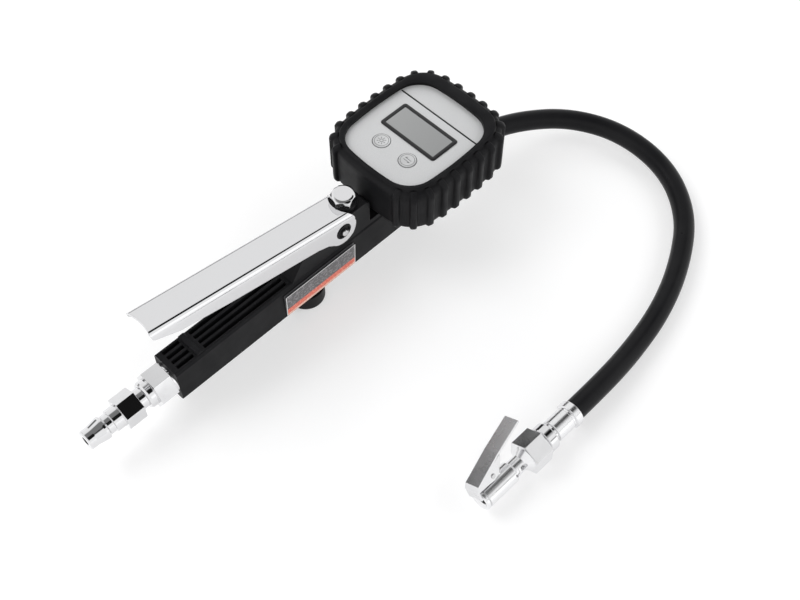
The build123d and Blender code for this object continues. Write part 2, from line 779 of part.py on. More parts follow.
# ---- chuck -------------------------------------------------------------------------
def chuck_point(x):
    """A point of the chuck's axis."""
    return (x, chuck_y, chuck_z)


def chuck_disc(x):
    """The plane square to the chuck's axis, looking towards the hose."""
    return Plane(origin=chuck_point(x), x_dir=(0, 1, 0), z_dir=(1, 0, 0))


with BuildPart() as rear_ferrule:
    add(turned(rear_ferrule_profile, chuck_point(hose_end_x), (-1, 0, 0)))
keep(rear_ferrule, "rear_ferrule")

with BuildPart() as hose_tail:
    add(turned(
        [(0, 0), (0, 6.0), (11.5, 6.0), (11.5, 7.2), (13.0, 7.2), (13.0, 9.4), (13.6, 9.9),
         (19.4, 9.9), (20.0, 9.4), (20.0, 6.8), (23.0, 6.8), (23.0, 4.5), (42.0, 4.5), (42.0, 0)],
        chuck_point(20),
    ))
    with BuildSketch(chuck_disc(20)):
        Circle(2.5)
    extrude(amount=50, mode=Mode.SUBTRACT)
keep(hose_tail, "hose_tail")

# The thumb lever stands in a plane tilted 55 degrees about the chuck's axis.
tilt = math.radians(55)
lever_up = Vector(0, math.cos(tilt), math.sin(tilt))
chuck_lever_plane = Plane(
    origin=chuck_point(0), x_dir=(1, 0, 0), z_dir=Vector(1, 0, 0).cross(lever_up)
)
chuck_pivot_x = -11.7
chuck_pivot_up = 11.9
lug_half = 3.2
chuck_pin_r = 1.5
seal_x = mouth_x + 12.0
seal_r = 5.0
seal_length = 4.0
chuck_hex_turn = 27.0
countersink_r = 5.7
countersink_depth = 1.6
with BuildPart() as chuck_body:
    add(turned(
        [(0, 0), (0, barrel_r - 0.5), (0.5, barrel_r), (2.1, barrel_r), (2.1, 6.3), (3.2, 6.3),
         (3.2, barrel_r), (27.5, barrel_r), (29, 6.0), (36.5, 6.0), (41, 10.0), (41, 10.6),
         (56, 10.6), (56, 0)],
        chuck_point(mouth_x),
    ))
    with BuildSketch(chuck_disc(16.5)):
        RegularPolygon(chuck_hex / 2, 6, major_radius=False, rotation=chuck_hex_turn)
    extrude(amount=15)
    # the lug that carries the lever's pin
    with BuildSketch(chuck_lever_plane):
        with BuildLine():
            Polyline(
                (chuck_pivot_x - 4.6, 5), (chuck_pivot_x - 2.4, chuck_pivot_up + 1.8),
                (chuck_pivot_x + 2.4, chuck_pivot_up + 1.8), (chuck_pivot_x + 8.5, 5), close=True,
            )
        make_face()
    extrude(amount=lug_half, both=True)
    with BuildSketch(chuck_lever_plane):
        with Locations((chuck_pivot_x, chuck_pivot_up)):
            Circle(chuck_pin_r)
    extrude(amount=10, both=True, mode=Mode.SUBTRACT)
    # the mouth, the seal's pocket and the passage behind it
    with BuildSketch(chuck_disc(mouth_x)):
        Circle(mouth_r)
    extrude(amount=seal_x - mouth_x, mode=Mode.SUBTRACT)
    add(turned(
        [(0, 0), (0, countersink_r), (countersink_depth, mouth_r), (countersink_depth, 0)],
        chuck_point(mouth_x),
    ), mode=Mode.SUBTRACT)
    with BuildSketch(chuck_disc(seal_x)):
        Circle(seal_r)
    extrude(amount=seal_length, mode=Mode.SUBTRACT)
    with BuildSketch(chuck_disc(mouth_x)):
        Circle(2.0)
    extrude(amount=50, mode=Mode.SUBTRACT)
    with BuildSketch(chuck_disc(20)):
        Circle(6.0)
    extrude(amount=20, mode=Mode.SUBTRACT)
    # two oval tool sockets in the side of the neck
    for socket_x, socket_floor in ((10.4, 3.6), (4.2, 5.4)):
        with BuildSketch(chuck_lever_plane.offset(socket_floor)):
            with Locations((socket_x, 0)):
                SlotOverall(5.2, 3.4)
        extrude(amount=8, mode=Mode.SUBTRACT)
keep(chuck_body, "chuck_body")

with BuildPart() as chuck_seal:
    add(ring_at(chuck_disc(seal_x), seal_r, 2.0, seal_length))
keep(chuck_seal, "chuck_seal")

with BuildPart() as valve_depressor:
    with BuildSketch(chuck_disc(seal_x + 1.0)):
        Circle(2.0)
    extrude(amount=seal_length - 1.0)
    with BuildSketch(chuck_disc(seal_x)):
        Circle(1.0)
    extrude(amount=1.0)
keep(valve_depressor, "valve_depressor")

# The lever is a bent strip with two side plates that straddle the barrel.
strip_half = 6.2
plate_inner = 4.9
foot_x = mouth_x - 0.6
thumb_end_x = 21.0
with BuildPart() as chuck_lever:
    with BuildSketch(chuck_lever_plane):
        with BuildLine():
            Polyline(
                (thumb_end_x, 30.2), (-2, 22.4), (foot_x + 0.6, 13.2), (foot_x - 1.4, 10.4),
                (foot_x - 1.4, 3.4), (foot_x, 3.4), (foot_x, 9.9), (foot_x + 1.5, 12.0),
                (-2, 20.9), (thumb_end_x + 0.5, 28.8), close=True,
            )
        make_face()
    extrude(amount=strip_half, both=True)
    with BuildSketch(chuck_lever_plane):
        with BuildLine():
            Polyline(
                (-1.0, 21.0), (-1.0, 19.4), (-7.4, 10.0), (chuck_pivot_x, 8.5), (-16, 8.9),
                (foot_x - 0.7, 9.3), (foot_x - 0.7, 10.6), (foot_x + 1.0, 12.6), close=True,
            )
        make_face()
    extrude(amount=strip_half, both=True)
    with BuildSketch(chuck_lever_plane):
        with BuildLine():
            Polyline(
                (10, 22.4), (foot_x + 2.4, 11.2), (foot_x + 0.4, 8.7), (foot_x + 0.4, 2), (10, 2),
                close=True,
            )
        make_face()
    extrude(amount=plate_inner, both=True, mode=Mode.SUBTRACT)
    # the foot is forked round the valve's stem
    with BuildSketch(chuck_disc(foot_x - 3)):
        Circle(4.4)
    extrude(amount=4, mode=Mode.SUBTRACT)
    with BuildSketch(chuck_lever_plane):
        with Locations((chuck_pivot_x, chuck_pivot_up)):
            Circle(chuck_pin_r + 0.05)
    extrude(amount=10, both=True, mode=Mode.SUBTRACT)
keep(chuck_lever, "chuck_lever")

# a coil of spring wire on the pin at each side of the lug
with BuildPart() as chuck_spring:
    for side in (-1, 1):
        coil_plane = Plane(
            origin=chuck_lever_plane.from_local_coords((chuck_pivot_x, chuck_pivot_up, side * 3.95)),
            x_dir=chuck_lever_plane.x_dir,
            z_dir=chuck_lever_plane.z_dir,
        )
        with Locations(coil_plane):
            Torus(chuck_pin_r + 0.5, 0.4)
keep(chuck_spring, "chuck_spring")

with BuildPart() as chuck_pin:
    with BuildSketch(chuck_lever_plane):
        with Locations((chuck_pivot_x, chuck_pivot_up)):
            Circle(chuck_pin_r)
    extrude(amount=strip_half + 0.8, both=True)
    fillet(chuck_pin.edges().filter_by(GeomType.CIRCLE), 0.5)
keep(chuck_pin, "chuck_pin")
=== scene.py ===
"""A tyre inflator with a digital gauge.

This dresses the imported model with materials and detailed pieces, and adds a camera and a studio.
Places and sizes of pieces are in millimetres, and those of the camera, lamps and floor in metres.
"""
import bisect
import json
import math

import bmesh
import bpy
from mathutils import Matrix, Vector


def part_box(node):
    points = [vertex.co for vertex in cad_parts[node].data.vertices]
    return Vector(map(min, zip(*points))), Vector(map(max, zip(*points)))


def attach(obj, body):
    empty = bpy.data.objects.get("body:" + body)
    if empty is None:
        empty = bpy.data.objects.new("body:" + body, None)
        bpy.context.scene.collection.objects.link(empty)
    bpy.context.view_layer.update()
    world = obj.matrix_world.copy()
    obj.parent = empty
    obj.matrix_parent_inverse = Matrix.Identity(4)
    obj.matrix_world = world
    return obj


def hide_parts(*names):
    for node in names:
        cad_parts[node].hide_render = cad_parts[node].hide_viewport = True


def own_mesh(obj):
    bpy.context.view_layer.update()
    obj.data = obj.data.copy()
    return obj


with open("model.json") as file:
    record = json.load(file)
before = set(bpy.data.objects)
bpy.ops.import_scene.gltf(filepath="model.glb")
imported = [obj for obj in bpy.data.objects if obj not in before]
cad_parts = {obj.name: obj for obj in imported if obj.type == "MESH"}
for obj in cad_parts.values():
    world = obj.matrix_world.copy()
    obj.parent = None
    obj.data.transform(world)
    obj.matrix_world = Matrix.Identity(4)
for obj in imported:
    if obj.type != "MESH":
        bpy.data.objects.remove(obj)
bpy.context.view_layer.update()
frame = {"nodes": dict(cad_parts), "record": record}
nodes = frame["nodes"]
MM = 0.001


def corners(node):
    """The lowest and highest corners of a CAD node, in millimetres."""
    low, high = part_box(node)
    return low / MM, high / MM


# ---- camera ------------------------------------------------------------------------
def add_camera():
    """The camera looks down at the gun from behind its inlet, past its right side."""
    azimuth = math.radians(45.0)
    elevation = math.radians(55.8)
    distance = 0.7428
    aim = Vector((0.0136, -0.0891, 0.0817))
    back = Vector((
        -math.cos(azimuth) * math.cos(elevation),
        -math.sin(azimuth) * math.cos(elevation),
        math.sin(elevation),
    ))
    data = bpy.data.cameras.new("camera")
    data.sensor_width = 36.0
    data.lens = 54.0
    data.clip_start = 0.01
    camera = bpy.data.objects.new("camera", data)
    camera.location = aim + back * distance
    camera.rotation_euler = (-back).to_track_quat("-Z", "Y").to_euler()
    bpy.context.scene.collection.objects.link(camera)
    bpy.context.scene.camera = camera


add_camera()


# ---- materials ---------------------------------------------------------------------
class Surface:
    """A procedural material: a principled shader with texture nodes added one by one."""

    def __init__(self, name, colour, rough=0.5, metal=0.0, **inputs):
        self.material = bpy.data.materials.new(name)
        self.material.use_nodes = True
        self.tree = self.material.node_tree
        self.shader = self.tree.nodes["Principled BSDF"]
        self.shader.inputs["Base Color"].default_value = (*colour, 1.0)
        self.shader.inputs["Roughness"].default_value = rough
        self.shader.inputs["Metallic"].default_value = metal
        for key, value in inputs.items():
            self.shader.inputs[key.replace("_", " ")].default_value = value
        self.colour = colour
        self.rough = rough
        self.place = self.node("ShaderNodeTexCoord").outputs["Object"]
        self.normal = None

    def node(self, kind, **values):
        """Add a node and set its properties, or its inputs where it has no such property."""
        made = self.tree.nodes.new(kind)
        for key, value in values.items():
            if hasattr(made, key):
                setattr(made, key, value)
            else:
                made.inputs[key.replace("_", " ")].default_value = value
        return made

    def link(self, source, target):
        self.tree.links.new(source, target)

    def noise(self, scale, detail):
        """A noise value that is fixed to the object."""
        texture = self.node("ShaderNodeTexNoise", Scale=scale, Detail=detail)
        self.link(self.place, texture.inputs["Vector"])
        return texture.outputs["Fac"]

    def ramp(self, source, low, high, start=0.0, end=1.0):
        """A value mapped from low..high to start..end and clamped."""
        mapped = self.node("ShaderNodeMapRange")
        for socket, value in zip(("From Min", "From Max", "To Min", "To Max"), (low, high, start, end)):
            mapped.inputs[socket].default_value = value
        self.link(source, mapped.inputs["Value"])
        return mapped.outputs["Result"]

    def mix_colour(self, factor, first, second):
        """Mix two colours; each is a tuple or a socket."""
        mix = self.node("ShaderNodeMix", data_type="RGBA")
        self.link(factor, mix.inputs["Factor"])
        for socket, value in ((mix.inputs[6], first), (mix.inputs[7], second)):
            if isinstance(value, tuple):
                socket.default_value = (*value, 1.0)
            else:
                self.link(value, socket)
        return mix.outputs[2]

    def set_colour(self, socket):
        self.link(socket, self.shader.inputs["Base Color"])

    def vary_rough(self, scale, spread):
        """Uneven gloss."""
        value = self.ramp(self.noise(scale, 4.0), 0.3, 0.7, self.rough - spread, self.rough + spread)
        self.link(value, self.shader.inputs["Roughness"])

    def vary_colour(self, scale, other):
        """Uneven colour between the base colour and another."""
        factor = self.ramp(self.noise(scale, 5.0), 0.35, 0.7)
        self.set_colour(self.mix_colour(factor, self.colour, other))

    def bump(self, height, strength, distance):
        """Add a bump; a later call lies on top of the earlier ones."""
        bump = self.node("ShaderNodeBump", Strength=strength, Distance=distance)
        self.link(height, bump.inputs["Height"])
        if self.normal:
            self.link(self.normal, bump.inputs["Normal"])
        self.normal = bump.outputs["Normal"]
        self.link(self.normal, self.shader.inputs["Normal"])

    def soft_edges(self, radius):
        """Round the edges of hard CAD shapes in the shading."""
        bevel = self.node("ShaderNodeBevel", samples=8, Radius=radius)
        self.normal = bevel.outputs["Normal"]
        self.link(self.normal, self.shader.inputs["Normal"])


def bare_metal(name, tint, rough):
    """Polished or brushed metal with soft edges and a faint waviness."""
    surface = Surface(name, tint, rough, 1.0)
    surface.soft_edges(0.3 * MM)
    surface.vary_rough(55.0, 0.03)
    surface.bump(surface.noise(130.0, 2.0), 0.06, 0.2 * MM)
    return surface


def black_plastic():
    """Moulded black plastic with a fine grain."""
    surface = Surface("moulded_black_plastic", (0.008, 0.008, 0.009), 0.40, 0.0, Specular_IOR_Level=0.07)
    surface.soft_edges(0.35 * MM)
    surface.vary_colour(40.0, (0.014, 0.014, 0.015))
    surface.vary_rough(70.0, 0.08)
    surface.bump(surface.noise(1500.0, 2.0), 0.12, 0.05 * MM)
    return surface


def boot_rubber():
    """Black rubber with painted shade: darker in the corners between its ribs."""
    surface = Surface("boot_rubber", (0.009, 0.009, 0.010), 0.42, 0.0, Specular_IOR_Level=0.08)
    # painted shade: where ambient occlusion within 4 mm finds the rubber sheltered, its colour falls to
    # near black
    shade_occlusion = surface.node("ShaderNodeAmbientOcclusion", Distance=4.0 * MM)
    unshaded_share = surface.ramp(shade_occlusion.outputs["AO"], 0.45, 0.95)
    worn = surface.ramp(surface.noise(60.0, 5.0), 0.35, 0.7)
    rubber = surface.mix_colour(worn, surface.colour, (0.015, 0.015, 0.016))
    # near-black painted shade in the corners, the unevenly worn rubber colour elsewhere
    surface.set_colour(surface.mix_colour(unshaded_share, (0.002, 0.002, 0.002), rubber))
    surface.vary_rough(90.0, 0.08)
    surface.bump(surface.noise(900.0, 3.0), 0.25, 0.08 * MM)
    return surface


def hose_rubber():
    """Smooth black hose cover."""
    surface = Surface("hose_rubber", (0.007, 0.007, 0.008), 0.34, 0.0, Specular_IOR_Level=0.11)
    surface.vary_colour(30.0, (0.012, 0.012, 0.013))
    surface.vary_rough(45.0, 0.08)
    surface.bump(surface.noise(700.0, 3.0), 0.12, 0.06 * MM)
    return surface


def display_glass():
    """Grey display glass, a little paler towards one end."""
    half_reach = 22.0 * MM
    surface = Surface("display_glass", (0.27, 0.275, 0.275), 0.16, 0.0)
    place = surface.node("ShaderNodeSeparateXYZ")
    surface.link(surface.place, place.inputs[0])
    factor = surface.ramp(place.outputs["Y"], -half_reach, half_reach)
    surface.set_colour(surface.mix_colour(factor, (0.26, 0.265, 0.265), (0.31, 0.315, 0.315)))
    surface.vary_rough(80.0, 0.05)
    return surface


def speckled_print(name, colour, fleck):
    """Printed film with small flecks of a second colour."""
    surface = Surface(name, colour, 0.38, 0.0)
    factor = surface.ramp(surface.noise(620.0, 2.0), 0.50, 0.60)
    surface.set_colour(surface.mix_colour(factor, colour, fleck))
    surface.vary_rough(90.0, 0.08)
    return surface


def silver_face():
    """Silver film with a fine sparkle."""
    surface = Surface("silver_face", (0.64, 0.645, 0.65), 0.45, 0.25)
    surface.vary_colour(1800.0, (0.54, 0.545, 0.55))
    surface.vary_rough(60.0, 0.05)
    surface.bump(surface.noise(2600.0, 2.0), 0.18, 0.03 * MM)
    return surface


def plain(name, colour, rough, metal=0.0, other=None):
    """A small part or a print, slightly uneven in colour and gloss."""
    surface = Surface(name, colour, rough, metal)
    surface.soft_edges(0.2 * MM)
    surface.vary_colour(80.0, other or tuple(channel * 0.8 for channel in colour))
    surface.vary_rough(80.0, 0.06)
    surface.bump(surface.noise(960.0, 2.0), 0.1, 0.04 * MM)
    return surface


CHROME = bare_metal("polished_chrome", (0.75, 0.75, 0.76), 0.07)
STEEL = bare_metal("plain_steel", (0.62, 0.62, 0.63), 0.24)
PRESSED = bare_metal("pressed_steel", (0.74, 0.74, 0.75), 0.27)
SATIN = bare_metal("satin_chrome", (0.84, 0.84, 0.85), 0.22)
BRASS = bare_metal("brass", (0.80, 0.62, 0.30), 0.22)
PLASTIC = black_plastic()
RUBBER = boot_rubber()
HOSE = hose_rubber()
SILVER = silver_face()
KEY = plain("silver_key", (0.66, 0.665, 0.67), 0.42, 0.25)
PRINT_GREY = plain("printed_grey", (0.16, 0.165, 0.17), 0.4)
PRINT_BLACK = plain("printed_black", (0.012, 0.012, 0.013), 0.4)
PRINT_WHITE = plain("printed_white", (0.72, 0.72, 0.72), 0.4)
SEAL = plain("seal_rubber", (0.010, 0.010, 0.010), 0.50)
BOARD = plain("circuit_board", (0.02, 0.16, 0.07), 0.4, other=(0.03, 0.22, 0.10))
CELL = plain("cell_wrap", (0.10, 0.10, 0.11), 0.25)
DISPLAY = plain("display_grey", (0.36, 0.37, 0.37), 0.35)
WINDOW = display_glass()
FRAME_BLACK = plain("display_frame", (0.010, 0.010, 0.011), 0.35)
LABEL = plain("label", (0.10, 0.10, 0.105), 0.35)
LABEL_PANEL = speckled_print("label_panel", (0.085, 0.082, 0.085), (0.21, 0.20, 0.21))
LABEL_STRIPE = speckled_print("label_stripe", (0.66, 0.115, 0.07), (0.78, 0.23, 0.15))
LABEL_EDGE = speckled_print("label_edge", (0.72, 0.42, 0.33), (0.82, 0.56, 0.47))

BY_SLOT = {
    "black_plastic": PLASTIC, "printed_label": LABEL, "display_grey": DISPLAY, "window": WINDOW,
    "seal_rubber": SEAL, "boot_rubber": RUBBER, "hose_rubber": HOSE, "steel": STEEL, "brass": BRASS,
    "chrome": CHROME, "silver_face": SILVER, "silver_key": KEY, "board_green": BOARD, "cell_metal": CELL,
}
BY_NODE = {"chuck_lever": PRESSED, "chuck_body": SATIN, "front_ferrule": SATIN, "rear_ferrule": SATIN}


def dress_cad_nodes():
    """Give every CAD node its own material, or else the material of its slot."""
    for entry in frame["record"]["subparts"]:
        surface = BY_NODE.get(entry["node"], BY_SLOT[entry["material_slot"]])
        for slot in nodes[entry["node"]].material_slots:
            slot.material = surface.material


dress_cad_nodes()


# ---- shapes ------------------------------------------------------------------------
def pad_frame(half_x, half_y, bulge, corner, angle):
    """The point of a bowed, rounded rectangle whose outward normal has this angle, and that normal.

    Its sides bow out by bulge, and its corners have the radius corner, whose centre is found by a few
    rounds of improvement.
    """
    rounds = 12
    side_r = (bulge ** 2 + (half_y - bulge) ** 2) / (2 * bulge)
    end_r = (bulge ** 2 + (half_x - bulge) ** 2) / (2 * bulge)
    centre_x, centre_y = half_x - corner, half_y - corner
    for _ in range(rounds):
        centre_x = half_x - side_r + math.sqrt((side_r - corner) ** 2 - centre_y ** 2)
        centre_y = half_y - end_r + math.sqrt((end_r - corner) ** 2 - centre_x ** 2)
    normal = Vector((math.cos(angle), math.sin(angle)))
    across, up = abs(normal.x), abs(normal.y)
    turn = math.atan2(up, across)
    first = math.atan2(centre_y, centre_x - half_x + side_r)
    last = math.atan2(centre_y - half_y + end_r, centre_x)
    if turn < first:
        x, y = half_x - side_r + side_r * across, side_r * up
    elif turn > last:
        x, y = end_r * across, half_y - end_r + end_r * up
    else:
        x, y = centre_x + corner * across, centre_y + corner * up
    return Vector((math.copysign(x, normal.x), math.copysign(y, normal.y))), normal


def skin(name, loops, surface, body, capped=False):
    """A smooth closed mesh through rings of points in millimetres.

    Its first and last rings are capped, or else joined to each other.
    """
    data = bpy.data.meshes.new(name)
    shape = bmesh.new()
    rings = [[shape.verts.new(Vector(point) * MM) for point in loop] for loop in loops]
    count = len(rings[0])
    following = rings[1:] if capped else rings[1:] + rings[:1]
    for lower, upper in zip(rings, following):
        for step in range(count):
            after = (step + 1) % count
            shape.faces.new((lower[step], lower[after], upper[after], upper[step]))
    if capped:
        shape.faces.new(rings[0])
        shape.faces.new(rings[-1])
    bmesh.ops.recalc_face_normals(shape, faces=shape.faces)
    for face in shape.faces:
        face.smooth = True
    shape.to_mesh(data)
    shape.free()
    made = bpy.data.objects.new(name, data)
    bpy.context.scene.collection.objects.link(made)
    data.materials.append(surface.material)
    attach(made, body)
    return made


def level_loop(centre, size, angles, offset, height):
    """A ring of points round a bowed, rounded rectangle, moved outwards by an offset."""
    loop = []
    for angle in angles:
        point, normal = pad_frame(*size, angle)
        place = centre + point + normal * offset
        loop.append((place.x, place.y, height))
    return loop


def turns(count):
    """Angles that divide a whole turn evenly."""
    return [math.tau * step / count for step in range(count)]


# ---- rubber boot -------------------------------------------------------------------
def ribbed_outline(outline):
    """Normal angles round an outline, closer together at the ribs, and how much of a rib stands at each.

    Distances are measured along the outline from the middle of its front, towards the far side.
    """
    ribs_each_way = 13
    near_gap = 11.65         # between ribs on the near side
    far_gap = 12.0
    middle_shift = -1.9      # where the middle rib lies
    profile = (              # share of the near gap from a rib's middle, share of its height
        (-0.5, 0.0), (-0.36, 0.0), (-0.25, 0.0), (-0.225, 0.12), (-0.195, 0.5), (-0.16, 0.84),
        (-0.115, 0.97), (-0.05, 1.0), (0.05, 1.0), (0.115, 0.97), (0.16, 0.84), (0.195, 0.5),
        (0.225, 0.12), (0.25, 0.0), (0.36, 0.0),
    )
    bare_rear_x = -40        # behind this and within the half width there are no ribs
    bare_half_width = 23
    bare_steps = 12
    sample_count = 21600
    fine = [math.tau * (step + 0.5) / sample_count for step in range(sample_count)]
    places = [pad_frame(*outline, angle)[0] for angle in fine]
    travelled = [0.0]
    for first, second in zip(places, places[1:]):
        travelled.append(travelled[-1] + (second - first).length)
    around = travelled[-1] + (places[0] - places[-1]).length
    ribbed = [
        (rib * (far_gap if rib > 0 else near_gap) + share * near_gap + middle_shift, rise)
        for rib in range(-ribs_each_way, ribs_each_way + 1) for share, rise in profile
    ]
    run_end = ribs_each_way * far_gap + near_gap / 2 + middle_shift
    bare_end = ribbed[0][0] + around
    bare_run = [(run_end + (bare_end - run_end) * step / bare_steps, 0.0) for step in range(bare_steps)]
    angles = []
    rises = []
    for wanted, rise in ribbed + bare_run:
        index = min(bisect.bisect_left(travelled, wanted % around), len(fine) - 1)
        place = places[index]
        bare = place.x < bare_rear_x and abs(place.y) < bare_half_width
        angles.append(fine[index])
        rises.append(0.0 if bare else rise)
    return angles, rises


def add_boot():
    """The rubber boot, with narrow moulded ribs that curl over its rim."""
    low, high = corners("rubber_boot")
    housing_low, housing_high = corners("gauge_housing")
    centre = Vector((119.75, 0.0))             # as in the CAD
    opening_centre = Vector((116.75, 0.0))
    # half length, half width, bulge and corner radius of each outline
    outer = (52.0, 45.8, 3.4, 24.0)
    opening = (42.6, 37.8, 3.0, 20.0)
    under = (45.0, 39.6, 2.0, 18.0)
    housing_play = 0.05
    housing = (
        (housing_high.x - housing_low.x) / 2 + housing_play,
        (housing_high.y - housing_low.y) / 2 + housing_play, 2.0, 23.0,
    )
    rib_height = 2.8
    floor_thickness = 3.2
    angles, rises = ribbed_outline(outer)
    top = high.z
    bottom = low.z
    seat = corners("face_plate")[1].z + 0.05
    loops = [
        level_loop(opening_centre, opening, angles, 0.0, seat),
        level_loop(opening_centre, opening, angles, 0.0, top - 1.1),
        level_loop(opening_centre, opening, angles, 0.35, top - 0.35),
        level_loop(opening_centre, opening, angles, 1.1, top),
    ]
    # offset from the outline, height, share of the rib's height, and how far it pushes outwards and up
    wall = (
        (-5.4, top, 0.0, 0.0, 1.0), (-4.9, top - 0.15, 0.0, 0.0, 1.0), (-4.5, top - 0.6, 0.0, 0.0, 1.0),
        (-4.3, top - 1.3, 0.0, 0.0, 1.0), (-4.1, top - 2.0, 0.0, 0.0, 1.0),
        (-3.7, top - 2.3, 0.30, 0.0, 1.0), (-3.1, top - 2.5, 0.52, 0.1, 0.95),
        (-2.2, top - 2.8, 0.62, 0.4, 0.7), (-1.3, top - 3.3, 0.80, 0.75, 0.4),
        (-0.5, top - 4.2, 0.94, 0.95, 0.15),
        (0.0, top - 5.6, 1.0, 1.0, 0.0), (0.0, top - 9.0, 1.0, 1.0, 0.0),
        (0.0, top - 20.0, 1.0, 1.0, 0.0),
        (0.0, bottom + 5.0, 1.0, 1.0, 0.0), (0.0, bottom + 2.6, 0.95, 1.0, 0.0),
        (-0.25, bottom + 1.4, 0.75, 0.9, -0.2), (-0.9, bottom + 0.5, 0.4, 0.8, -0.2),
        (-1.8, bottom, 0.0, 0.0, 0.0),
    )
    for offset, height, share, outwards, upwards in wall:
        ring = []
        for angle, rise in zip(angles, rises):
            point, normal = pad_frame(*outer, angle)
            lift = rise * rib_height * share
            place = centre + point + normal * (offset + lift * outwards)
            ring.append((place.x, place.y, height + lift * upwards))
        loops.append(ring)
    loops += [
        level_loop(centre, under, angles, 0.0, bottom),
        level_loop(centre, under, angles, 0.0, bottom + floor_thickness),
        level_loop(centre, housing, angles, 0.0, bottom + floor_thickness),
        level_loop(centre, housing, angles, 0.0, seat),
    ]
    boot = skin("rubber_boot_moulding", loops, RUBBER, "gun")
    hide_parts("rubber_boot")


add_boot()


# ---- gauge face --------------------------------------------------------------------
MARK_LINE = 0.4              # width of the lines of the marks on the keys
RING_DEPTH = 0.02            # how far the rings on the keys sink into them


def add_ring(name, centre, radius, width, height, surface, body):
    """A thin printed ring with slightly rounded edges."""
    ring_steps = 72
    section = ((-0.5, 0.0), (-0.38, 0.07), (0.38, 0.07), (0.5, 0.0))   # share of the width, rise
    loops = []
    for across, rise in section:
        reach = radius + across * width
        loops.append([
            (centre.x + reach * math.cos(turn), centre.y + reach * math.sin(turn), height + rise)
            for turn in turns(ring_steps)
        ])
    skin(name, loops, surface, body)


def add_bar(name, start, end, width, height, surface, body):
    """A thin printed bar with rounded ends, lying flat."""
    end_steps = 8
    section = ((0.5, -0.02), (0.5, 0.04), (0.36, 0.07))                # share of the width, rise
    along = (end - start).normalized()
    side = Vector((-along.y, along.x))
    loops = []
    for reach, rise in section:
        loop = []
        for foot, way in ((end, 1), (start, -1)):
            for step in range(end_steps + 1):
                turn = math.pi * (step / end_steps - 0.5)
                point = foot + (along * math.cos(turn) + side * math.sin(turn)) * way * width * reach
                loop.append((point.x, point.y, height + rise))
        loops.append(loop)
    skin(name, loops, surface, body, capped=True)


def add_display_surround():
    """The bevelled black frame of the display, round its window."""
    ring_steps = 96
    off_axis = 0.001         # radians that keep every normal a little off the axes
    frame_low, frame_high = corners("display_frame")
    glass_low, glass_high = corners("display_window")
    middle = ((frame_low + frame_high) / 2).xy
    frame_half = (frame_high - frame_low) / 2
    glass_half = (glass_high - glass_low) / 2
    outer = (frame_half.x, frame_half.y, 0.05, 2.2)
    inner = (glass_half.x, glass_half.y, 0.04, 0.6)
    angles = [turn + off_axis for turn in turns(ring_steps)]
    top = frame_high.z
    surround = skin(
        "display_surround",
        [
            level_loop(middle, outer, angles, 0.0, frame_low.z),
            level_loop(middle, outer, angles, 0.0, top - 0.2),
            level_loop(middle, outer, angles, -0.2, top),
            level_loop(middle, inner, angles, 0.25, top),
            level_loop(middle, inner, angles, 0.0, top - 0.15),
            level_loop(middle, inner, angles, 0.0, frame_low.z),
        ],
        FRAME_BLACK, "gun",
    )
    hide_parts("display_frame")


def add_sun(name, centre, height, body):
    """A small circle with eight rays, for the light key."""
    circle_radius = 1.2
    ray_count = 8
    ray_start = 2.1
    ray_end = 3.1
    add_ring(f"{name}_sun", centre, circle_radius, MARK_LINE, height - RING_DEPTH, PRINT_GREY, body)
    for ray, turn in enumerate(turns(ray_count)):
        way = Vector((math.cos(turn), math.sin(turn)))
        near = centre + way * ray_start
        far = centre + way * ray_end
        add_bar(f"{name}_ray_{ray}", near, far, MARK_LINE, height, PRINT_GREY, body)


def add_arrows(name, centre, height, body):
    """Two half arrows that point opposite ways, for the unit key."""
    offset = 0.9             # of each arrow from the middle, and of its barb's end from the arrow
    half_length = 2.6
    barb_length = 1.2        # measured along the arrow
    for side in (-1, 1):
        tail = centre + Vector((offset, -half_length)) * side
        tip = centre + Vector((offset, half_length)) * side
        barb = tip + Vector((offset, -barb_length)) * side
        add_bar(f"{name}_line_{side}", tail, tip, MARK_LINE, height, PRINT_GREY, body)
        add_bar(f"{name}_barb_{side}", tip, barb, MARK_LINE, height, PRINT_GREY, body)


def add_face():
    """The display surround, the divider and the printed marks on the gauge face."""
    face_top = corners("face_plate")[1].z
    divider_x = 140.6
    divider_half = 35.6
    divider_width = 1.3
    rim_radius, rim_width = 6.4, 0.45
    inner_radius, inner_width = 4.9, 0.35
    keys = (("light_button", "light_key", add_sun), ("unit_button", "unit_key", add_arrows))
    add_display_surround()
    add_bar(
        "face_divider", Vector((divider_x, divider_half)), Vector((divider_x, -divider_half)),
        divider_width, face_top, PRINT_BLACK, "gun",
    )
    for name, body, add_mark in keys:
        low, high = corners(name)
        centre = ((low + high) / 2).xy
        inner_height = high.z - RING_DEPTH
        add_ring(f"{name}_rim", centre, rim_radius, rim_width, face_top, PRINT_GREY, "gun")
        add_ring(f"{name}_inner_rim", centre, inner_radius, inner_width, inner_height, PRINT_GREY, body)
        add_mark(name, centre, high.z, body)


add_face()


# ---- valve spring ------------------------------------------------------------------
def add_valve_spring():
    """The coil under the poppet, built at one length; the real one shortens as the plunger pushes the
    poppet down.
    """
    low, high = corners("valve_spring")
    wire_r = 0.55
    coil_count = 5
    wire_steps = 10
    steps = 24 * coil_count
    coil_r = (high.x - low.x) / 2 - wire_r
    foot = Vector(((low.x + high.x) / 2, (low.y + high.y) / 2, low.z + wire_r))
    rise = high.z - low.z - 2 * wire_r
    upwards = Vector((0.0, 0.0, 1.0))
    loops = []
    for step in range(steps + 1):
        turn = math.tau * coil_count * step / steps
        outwards = Vector((math.cos(turn), math.sin(turn), 0.0))
        middle = foot + outwards * coil_r + upwards * rise * step / steps
        loops.append([
            middle + (outwards * math.cos(side) + upwards * math.sin(side)) * wire_r
            for side in turns(wire_steps)
        ])
    spring = skin("valve_spring_coil", loops, STEEL, "gun", capped=True)
    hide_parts("valve_spring")
    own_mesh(spring)


add_valve_spring()


